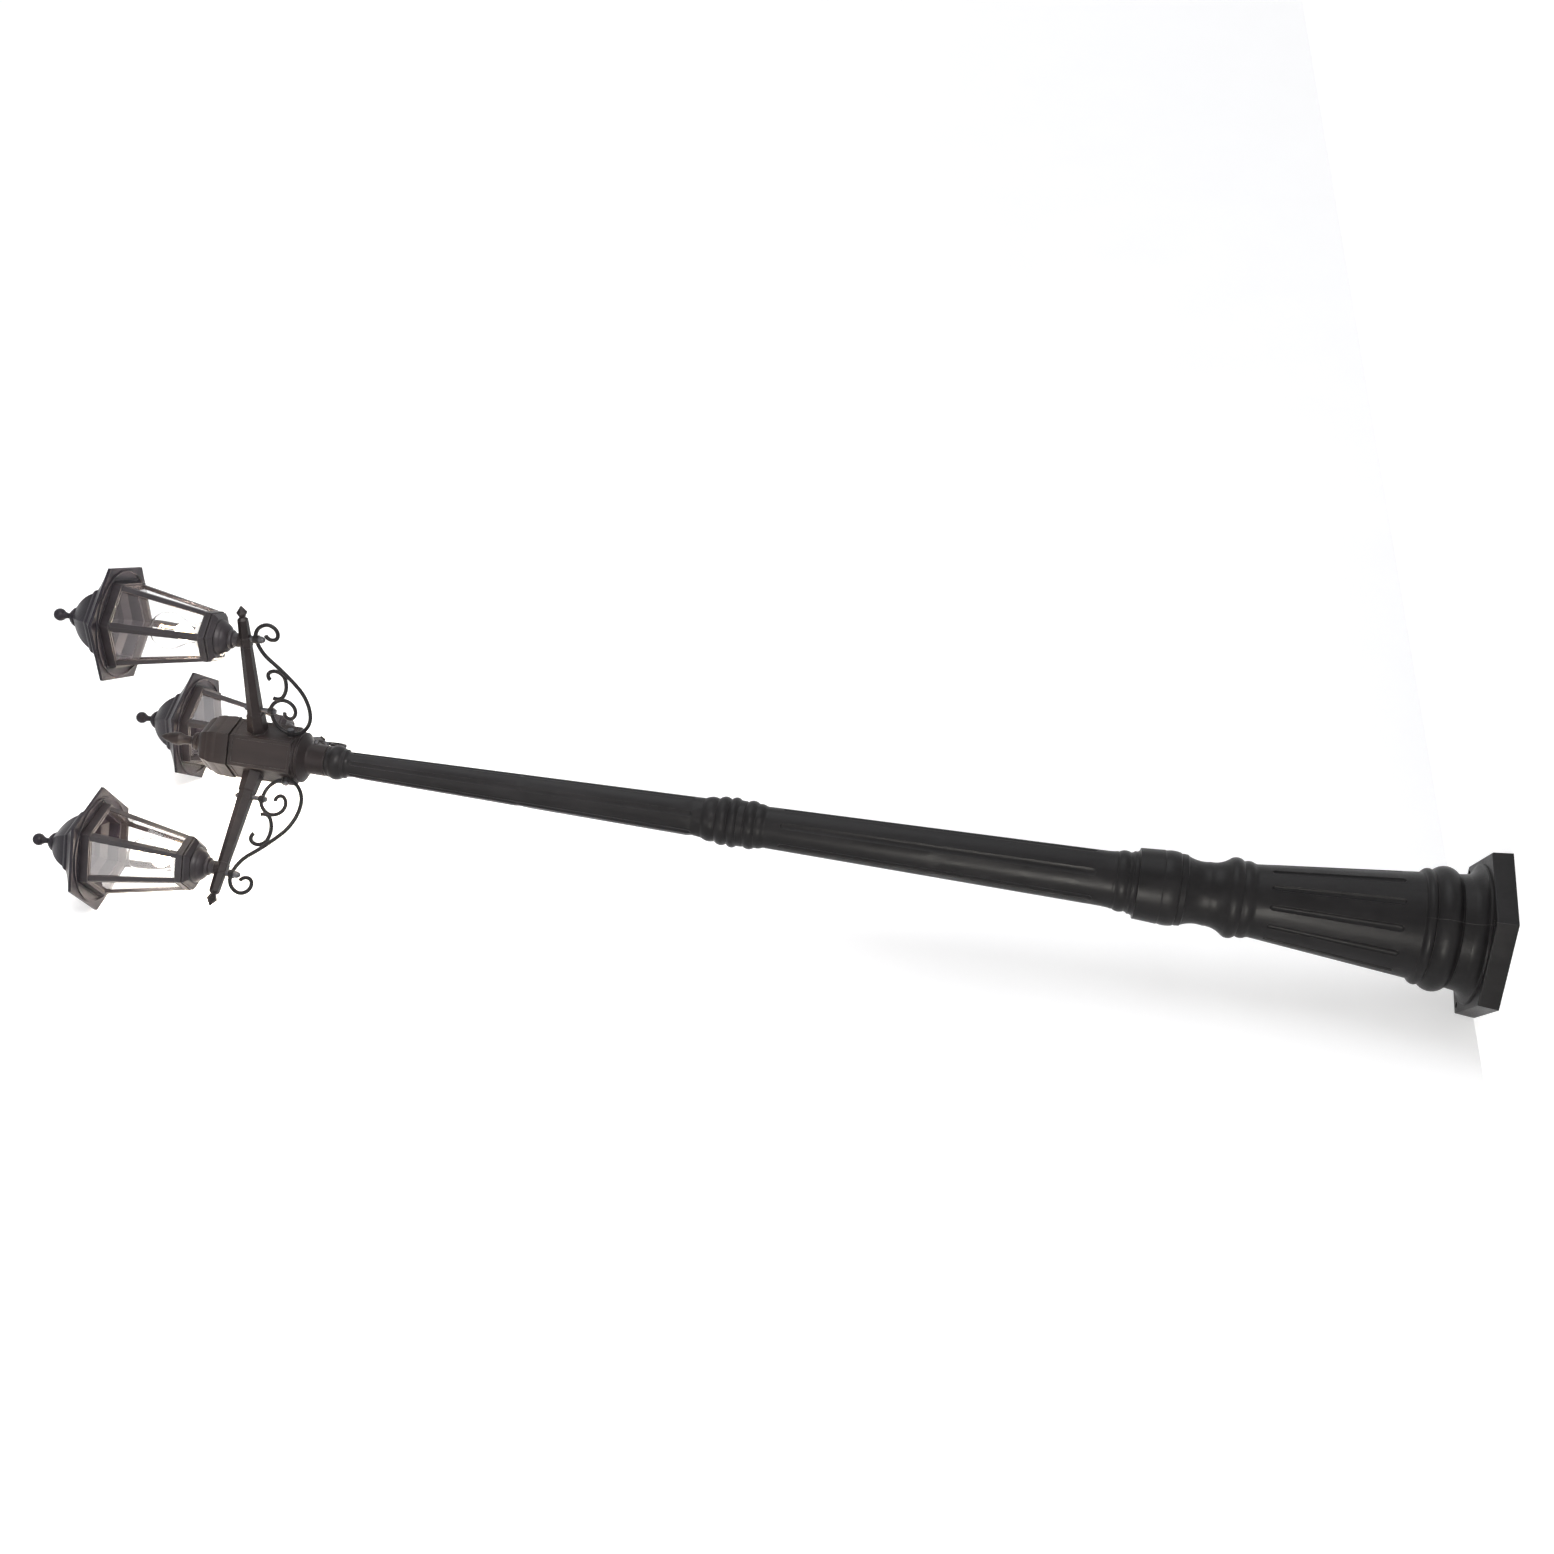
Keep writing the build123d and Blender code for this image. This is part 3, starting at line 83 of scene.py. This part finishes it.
class Graph:
    """A material's node tree, with short calls for the nodes used here."""

    def __init__(self, name):
        self.material = bpy.data.materials.new(name)
        self.material.use_nodes = True
        self.tree = self.material.node_tree
        self.shader = self.tree.nodes["Principled BSDF"]
        self.output = self.tree.nodes["Material Output"]
        self.place = self.add("ShaderNodeTexCoord").outputs["Object"]

    def add(self, kind, **settings):
        node = self.tree.nodes.new(kind)
        for key, value in settings.items():
            setattr(node, key, value)
        return node

    def link(self, source, target):
        self.tree.links.new(source, target)

    def feed(self, name, source):
        """Drives one of the shader's inputs."""
        self.link(source, self.shader.inputs[name])

    def set(self, name, value):
        """Sets one of the shader's inputs to a uniform value."""
        self.shader.inputs[name].default_value = value

    def noise(self, scale, detail, stretch=None):
        """Noise of about 1/scale metres, optionally drawn out along an axis."""
        place = self.place
        if stretch is not None:
            mapping = self.add("ShaderNodeMapping")
            mapping.inputs["Scale"].default_value = stretch
            self.link(place, mapping.inputs["Vector"])
            place = mapping.outputs["Vector"]
        node = self.add("ShaderNodeTexNoise")
        node.inputs["Scale"].default_value = scale
        node.inputs["Detail"].default_value = detail
        self.link(place, node.inputs["Vector"])
        return node.outputs["Fac"]

    def math(self, operation, first, second=None):
        node = self.add("ShaderNodeMath", operation=operation)
        for socket, value in zip(node.inputs, (first, second)):
            if value is None:
                continue
            if isinstance(value, (int, float)):
                socket.default_value = value
            else:
                self.link(value, socket)
        return node.outputs[0]

    def dot(self, first):
        """A dot product with its first side linked. Gives its second side and its value."""
        node = self.add("ShaderNodeVectorMath", operation="DOT_PRODUCT")
        self.link(first, node.inputs[0])
        return node.inputs[1], node.outputs["Value"]

    def span(self, source, low, high, out_low=0.0, out_high=1.0):
        """Maps source from low..high to out_low..out_high, and holds it at the ends."""
        node = self.add("ShaderNodeMapRange")
        for socket, value in zip(node.inputs[1:5], (low, high, out_low, out_high)):
            socket.default_value = value
        self.link(source, node.inputs[0])
        return node.outputs[0]

    def blend(self, amount, first, second):
        """Colour between first and second."""
        node = self.add("ShaderNodeMix", data_type="RGBA")
        self.link(amount, node.inputs["Factor"])
        for socket, value in zip((node.inputs[6], node.inputs[7]), (first, second)):
            if isinstance(value, tuple):
                socket.default_value = (*value, 1.0)
            else:
                self.link(value, socket)
        return node.outputs[2]

    def mottle(self, amount, colour, factor):
        """Colour that goes over to factor times itself where amount is 1."""
        return self.blend(amount, colour, tuple(factor * channel for channel in colour))

    def mix_shaders(self, amount, first, second):
        node = self.add("ShaderNodeMixShader")
        for socket, source in zip(node.inputs, (amount, first, second)):
            self.link(source, socket)
        return node.outputs[0]

    def show(self, surface):
        """Uses this shader in place of the plain one."""
        self.link(surface, self.output.inputs["Surface"])

    def sharp_edges(self, radius):
        """1 on edges sharper than radius and 0 elsewhere, and the normals rounded by radius."""
        soft = self.add("ShaderNodeBevel", samples=EDGE_SAMPLES)
        soft.inputs["Radius"].default_value = radius
        other, alike = self.dot(soft.outputs[0])
        self.link(self.add("ShaderNodeNewGeometry").outputs["Normal"], other)
        return self.span(alike, EDGE_SHARP, EDGE_SOFT, 1.0, 0.0), soft.outputs[0]

    def seam_line(self, heading_deg, width, top, fade):
        """1 on the upright plane through the post's axis at this heading, fading out below top."""
        heading = math.radians(heading_deg)
        across, off_plane = self.dot(self.place)
        across.default_value = (-math.sin(heading), math.cos(heading), 0)
        line = self.span(self.math("ABSOLUTE", off_plane), width / 2, width, 1.0, 0.0)
        split = self.add("ShaderNodeSeparateXYZ")
        self.link(self.place, split.inputs[0])
        return self.math("MULTIPLY", line, self.span(split.outputs["Z"], top - fade, top, 1.0, 0.0))

    def bump(self, height, distance, strength, normal=None):
        node = self.add("ShaderNodeBump")
        node.inputs["Strength"].default_value = strength
        node.inputs["Distance"].default_value = distance
        self.link(height, node.inputs["Height"])
        if normal is not None:
            self.link(normal, node.inputs["Normal"])
        return node.outputs[0]


# ---------------------------------------------------------------- materials
# The lighter colour that the edges go to: rubbed coat, and also a painted highlight along the edges.
COAT_RUBBED_AND_HIGHLIT = (0.075, 0.072, 0.07)
COAT_LIFT = 2.2
EDGE_ROUND_R = 0.0009
MOULD_SEAM_DEG = -73.2
MOULD_SEAM_WIDTH = 0.0006
MOULD_SEAM_TOP = 0.115
MOULD_SEAM_FADE = 0.02
MOULD_SEAM_TONE = 0.3


def powder_coat(name, deep, roughness, gloss, seams=False):
    """Satin powder coat on cast aluminium: fine orange peel, cast waviness, and edges lightened in
    patches, partly as rubbed coat and partly as a painted highlight along the edges.
    """
    graph = Graph(name)
    edges, rounded = graph.sharp_edges(EDGE_ROUND_R)
    clouds = graph.noise(scale=22, detail=4)
    streaks = graph.noise(scale=60, detail=3, stretch=(1, 1, 0.12))
    cast = graph.noise(scale=170, detail=3)
    peel = graph.noise(scale=1500, detail=2)

    cloudy = graph.span(clouds, 0.35, 0.65, 0.0, 0.35)
    streaky = graph.span(streaks, 0.4, 0.7, 0.0, 0.3)
    body = graph.mottle(graph.math("ADD", cloudy, streaky), deep, COAT_LIFT)
    # Edges lighten in patches: partly real rubbed wear, partly a painted edge highlight.
    rubbed_and_highlit_edges = graph.math("MULTIPLY", edges, graph.span(cast, 0.35, 0.6, 0.15, 0.8))
    colour = graph.blend(rubbed_and_highlit_edges, body, COAT_RUBBED_AND_HIGHLIT)
    wave = graph.bump(cast, distance=0.0007, strength=0.3, normal=rounded)
    if seams:
        line = graph.seam_line(MOULD_SEAM_DEG, MOULD_SEAM_WIDTH, MOULD_SEAM_TOP, MOULD_SEAM_FADE)
        colour = graph.blend(graph.math("MULTIPLY", line, MOULD_SEAM_TONE), colour, COAT_RUBBED_AND_HIGHLIT)
        wave = graph.bump(line, distance=0.0004, strength=0.8, normal=wave)

    cloudy_shine = graph.span(clouds, 0.3, 0.7, -0.06, 0.06)
    peel_shine = graph.span(peel, 0.3, 0.7, -0.04, 0.04)
    shine = graph.math("ADD", cloudy_shine, peel_shine)
    graph.feed("Base Color", colour)
    graph.feed("Roughness", graph.math("ADD", shine, roughness))
    graph.feed("Normal", graph.bump(peel, distance=0.00014, strength=0.6, normal=wave))
    graph.set("Specular IOR Level", gloss)
    return graph.material


def plated(name, colour, roughness):
    """Zinc-plated or blackened steel: metal with a faint blotchy passivation."""
    graph = Graph(name)
    blotches = graph.noise(scale=260, detail=4)
    scratches = graph.noise(scale=900, detail=2, stretch=(1, 1, 0.2))
    graph.feed("Base Color", graph.mottle(graph.span(blotches, 0.35, 0.65), colour, 0.7))
    graph.feed("Roughness", graph.span(scratches, 0.3, 0.7, roughness - 0.08, roughness + 0.1))
    graph.feed("Normal", graph.bump(scratches, distance=0.0001, strength=0.4))
    graph.set("Metallic", 1.0)
    return graph.material


def moulded(name, colour, roughness):
    """Moulded plastic with a fine spark-eroded grain."""
    graph = Graph(name)
    grain = graph.noise(scale=2200, detail=2)
    flow = graph.noise(scale=70, detail=3)
    graph.feed("Base Color", graph.mottle(graph.span(flow, 0.3, 0.7), colour, 1.25))
    graph.feed("Roughness", graph.span(grain, 0.3, 0.7, roughness - 0.05, roughness + 0.07))
    graph.feed("Normal", graph.bump(grain, distance=0.0001, strength=0.4))
    return graph.material


def clear_glass(name, tint, ior):
    """Clear, slightly smeared glass that lets the lamps' and the studio's light through."""
    graph = Graph(name)
    smears = graph.noise(scale=34, detail=4)
    graph.feed("Base Color", graph.mottle(graph.span(smears, 0.4, 0.7), tint, 0.97))
    graph.set("Transmission Weight", 1.0)
    graph.set("IOR", ior)
    graph.set("Roughness", 0.0)
    open_way = graph.add("ShaderNodeBsdfTransparent")
    open_way.inputs["Color"].default_value = (*tint, 1.0)
    rays = graph.add("ShaderNodeLightPath").outputs
    passing = graph.math("MAXIMUM", rays["Is Shadow Ray"], rays["Is Diffuse Ray"])
    graph.show(graph.mix_shaders(passing, graph.shader.outputs[0], open_way.outputs[0]))
    return graph.material


def glowing(name, colour, strength):
    """Warm lit filaments on their glass stem."""
    graph = Graph(name)
    flicker = graph.noise(scale=700, detail=2)
    graph.feed("Base Color", graph.mottle(graph.span(flicker, 0.3, 0.7), colour, 0.8))
    graph.set("Emission Color", (*colour, 1.0))
    graph.set("Emission Strength", strength)
    return graph.material


# ---------------------------------------------------------------- studio
# The ground that the post lies on in the photograph: which way is up from it, and how far it is
# from the frame's origin.
LYING_UP = (0.8654, -0.4997, 0.0350)
LYING_REACH = 0.1250
STAGE_SIZE = 30.0
GROUND_PALE = (0.82, 0.82, 0.83)
GROUND_DIM = (0.8, 0.8, 0.81)

# How much of a shadow on the ground shows, and how bright the ground and the floor are lit.
GROUND_SHADE = 0.8
GROUND_LEVEL = 0.62
FLOOR_LEVEL = 0.4

# Soft light from all round, and a wide even light over the lying post, in W/m2.
WORLD_LIGHT = 0.35
SKY_FROM = (2.9, -0.4, 0.5)
SKY_SPREAD_DEG = 50
SKY_POWER = 1.5
SKY_COLOUR = (0.97, 0.98, 1.0)

# name, place, what it points at, size, power in W, spread in degrees, colour
SOFTBOXES = (
    ("key", (-1.0, -2.2, 0.7), (0, 0, 0.35), 0.3, 6.5, 70, (1.0, 0.97, 0.9)),
    ("head", (-0.6, -2.4, 2.5), (0, 0, 1.9), 1.2, 9, 120, (1.0, 0.98, 0.96)),
    ("low", (0.9, -1.7, 1.1), (0, 0, 2.05), 0.8, 8, 60, (1.0, 0.96, 0.94)),
)

# The lit lamps' own light.
LAMP_POWER = 5.0
LAMP_WARMTH = (1.0, 0.86, 0.72)
LAMP_GLOW_R = 0.02


def bright_ground(name, shade, level):
    """Pale ground that looks white from above and can't be seen from below.
    Its glow makes it white where it is lit to level. Of a shadow, the share shade stays."""
    graph = Graph(name)
    speckle = graph.noise(scale=6, detail=2)
    graph.feed("Base Color", graph.blend(graph.span(speckle, 0.3, 0.7), GROUND_PALE, GROUND_DIM))
    graph.set("Roughness", 0.9)
    graph.set("Specular IOR Level", 0.0)
    white = graph.add("ShaderNodeEmission")
    white.inputs["Color"].default_value = (1, 1, 1, 1)
    white.inputs["Strength"].default_value = (1.0 - shade * level) / (1.0 - shade)
    glow = graph.math("MULTIPLY", eye_rays(graph.tree), 1.0 - shade)
    glare = graph.mix_shaders(glow, graph.shader.outputs[0], white.outputs[0])
    below = graph.add("ShaderNodeNewGeometry").outputs["Backfacing"]
    open_way = graph.add("ShaderNodeBsdfTransparent")
    graph.show(graph.mix_shaders(below, glare, open_way.outputs[0]))
    return graph.material


def add_ground(name, centre, normal, level):
    """Flat square ground, seen from the side that its normal points to."""
    turn = Vector(normal).to_track_quat("Z", "Y").to_matrix().to_4x4()
    half = STAGE_SIZE / 2
    corners = [(-half, -half, 0), (half, -half, 0), (half, half, 0), (-half, half, 0)]
    mesh = bpy.data.meshes.new(name)
    mesh.from_pydata([Vector(centre) + turn @ Vector(c) for c in corners], [], [(0, 1, 2, 3)])
    mesh.materials.append(bright_ground(name, GROUND_SHADE, level))
    ground = place_object(name, mesh)


def shine_along(direction):
    """The turn with which a lamp shines along a direction."""
    return Vector(direction).to_track_quat("-Z", "Y").to_euler()


def add_softbox(name, place, target, size, power, spread_deg, colour):
    """A square lamp, itself out of the camera's sight."""
    lamp = bpy.data.lights.new(name, "AREA")
    lamp.shape = "SQUARE"
    lamp.size = size
    lamp.energy = power
    lamp.spread = math.radians(spread_deg)
    lamp.color = colour
    box = place_object(name, lamp, place)
    box.visible_camera = False
    box.rotation_euler = shine_along(Vector(target) - Vector(place))


def add_sky():
    """The even light over the lying post, as wide as a bright room."""
    lamp = bpy.data.lights.new("sky", "SUN")
    lamp.angle = math.radians(SKY_SPREAD_DEG)
    lamp.energy = SKY_POWER
    lamp.color = SKY_COLOUR
    sky = place_object("sky", lamp)
    sky.rotation_euler = shine_along(-Vector(SKY_FROM))


def add_lamp_glow(side):
    """The lit lamp's own light, from the middle of its filaments."""
    low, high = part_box(f"filament_{side}")
    lamp = bpy.data.lights.new(f"glow_{side}", "POINT")
    lamp.energy = LAMP_POWER
    lamp.color = LAMP_WARMTH
    lamp.shadow_soft_size = LAMP_GLOW_R
    place_object(f"glow_{side}", lamp, [(a + b) / 2 for a, b in zip(low, high)])


def add_world():
    """White to the eye, and a plain soft light on the object."""
    world = bpy.data.worlds.new("studio")
    bpy.context.scene.world = world
    world.use_nodes = True
    tree = world.node_tree
    tree.nodes.clear()
    level = tree.nodes.new("ShaderNodeMapRange")
    level.inputs["To Min"].default_value = WORLD_LIGHT
    level.inputs["To Max"].default_value = 1.0
    tree.links.new(eye_rays(tree), level.inputs["Value"])
    background = tree.nodes.new("ShaderNodeBackground")
    background.inputs["Color"].default_value = (1, 1, 1, 1)
    tree.links.new(level.outputs[0], background.inputs["Strength"])
    output = tree.nodes.new("ShaderNodeOutputWorld")
    tree.links.new(background.outputs[0], output.inputs["Surface"])


def add_studio():
    lying = Vector(LYING_UP).normalized() * -LYING_REACH
    add_ground("photo_ground", lying, LYING_UP, GROUND_LEVEL)
    add_ground("floor", (0, 0, 0), (0, 0, 1), FLOOR_LEVEL)
    add_sky()
    for softbox in SOFTBOXES:
        add_softbox(*softbox)
    for side in SIDES:
        add_lamp_glow(side)
    add_world()


# ---------------------------------------------------------------- the object
def dress(names, material):
    """Gives CAD nodes a material, in place of the one that they were packed with."""
    for name in names:
        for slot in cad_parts[name].material_slots:
            slot.material = material


def dress_coated():
    """The cast pieces: the hub and arms a little browner than the post, the roofs bluer."""
    post = powder_coat("post_coat", (0.0068, 0.0064, 0.0068), roughness=0.38, gloss=0.12, seams=True)
    hub = powder_coat("hub_coat", (0.0085, 0.0066, 0.0067), roughness=0.42, gloss=0.13)
    lantern = powder_coat("lantern_coat", (0.0125, 0.0108, 0.0122), roughness=0.4, gloss=0.2)
    roof = powder_coat("roof_coat", (0.009, 0.0078, 0.0104), roughness=0.36, gloss=0.12)
    dress(["base_foot", "base_column", "lower_pole", "upper_pole"] + each_side("scroll"), post)
    dress(["hub", "hub_cap", "hub_finial"] + each_side("arm"), hub)
    dress(each_side("cup", "cage"), lantern)
    dress(each_side("roof", "roof_finial"), roof)


def dress_steel():
    """Threaded tubes, rods and fasteners."""
    zinc = plated("zinc_plate", (0.62, 0.61, 0.58), roughness=0.34)
    black = plated("black_steel", (0.07, 0.07, 0.075), roughness=0.42)
    dress(["foot_nipple", "column_nipple", "pole_nipple", "hub_tie_rod"], zinc)
    dress(each_side("arm_fixing", "lantern_nipple"), zinc)
    dress(["neck_screw"] + each_side("scroll_fixings"), black)


def dress_wiring():
    """The terminal block, the lamp holders and their leads."""
    thermoset = moulded("thermoset", (0.66, 0.65, 0.63), roughness=0.4)
    sheath = moulded("lead_sheath", (0.7, 0.69, 0.65), roughness=0.5)
    dress(["terminal_block"] + each_side("lamp_holder"), thermoset)
    dress(each_side("lead"), sheath)


def dress_lamps():
    """The lamps and the panes round them."""
    aluminium = plated("rolled_aluminium", (0.78, 0.78, 0.77), roughness=0.28)
    dress(each_side("bulb_cap"), aluminium)
    dress(each_side("panes"), clear_glass("pane_glass", (0.98, 0.985, 0.985), ior=1.42))
    dress(each_side("bulb_glass"), clear_glass("lamp_glass", (1.0, 0.995, 0.985), ior=1.08))
    dress(each_side("filament"), glowing("filament_glow", (1.0, 0.72, 0.42), strength=5.0))


add_camera()
add_studio()
dress_coated()
dress_steel()
dress_wiring()
dress_lamps()
bpy.context.scene.view_settings.view_transform = "Standard"
